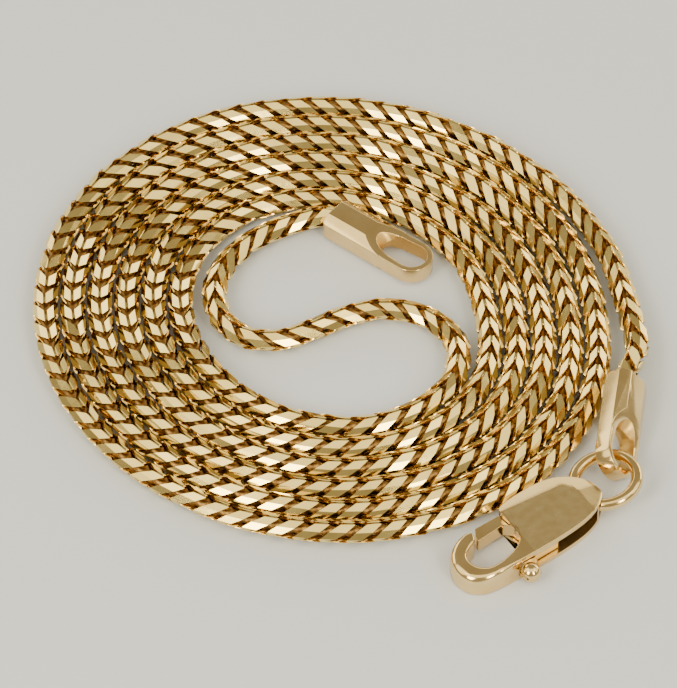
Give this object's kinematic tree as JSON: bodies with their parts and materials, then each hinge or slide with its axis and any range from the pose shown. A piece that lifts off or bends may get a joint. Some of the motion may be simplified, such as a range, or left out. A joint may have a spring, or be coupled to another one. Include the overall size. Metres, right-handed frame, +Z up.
{
  "type": "franco chain necklace",
  "caption": "Square franco link chain laid in a flat coil, with squared end caps, a round jump ring and a sprung trigger clasp.",
  "frame": {"origin": "on the surface, under the middle of the whole object's box", "axes": "+Z up from the surface, +Y away from the clasp's end, +X to the right when seen from the clasp's side"},
  "size_m": [0.0496, 0.0546, 0.0038],
  "materials": {
    "chain_gold": "diamond-cut and polished pale yellow gold",
    "polished_gold": "polished pale yellow gold, slightly brushed on the flat faces"
  },
  "bodies": {
    "necklace": {"chain_coil": "chain_gold", "chain_tail": "chain_gold", "end_cap_inner": "polished_gold", "end_cap_outer": "polished_gold", "jump_ring": "polished_gold", "clasp_body": "polished_gold", "clasp_pin": "polished_gold"},
    "lever": {"clasp_lever": "polished_gold"}
  },
  "joints": [
    {"name": "lever_turn", "type": "hinge", "parent": "necklace", "child": "lever", "pos_m": [0.01495, -0.02114, 0.00115], "axis": [0, 0, 1], "range_deg": [0, 22], "stiffness_Nm_per_rad": 0.0004, "springref_deg": -20.05}
  ]
}
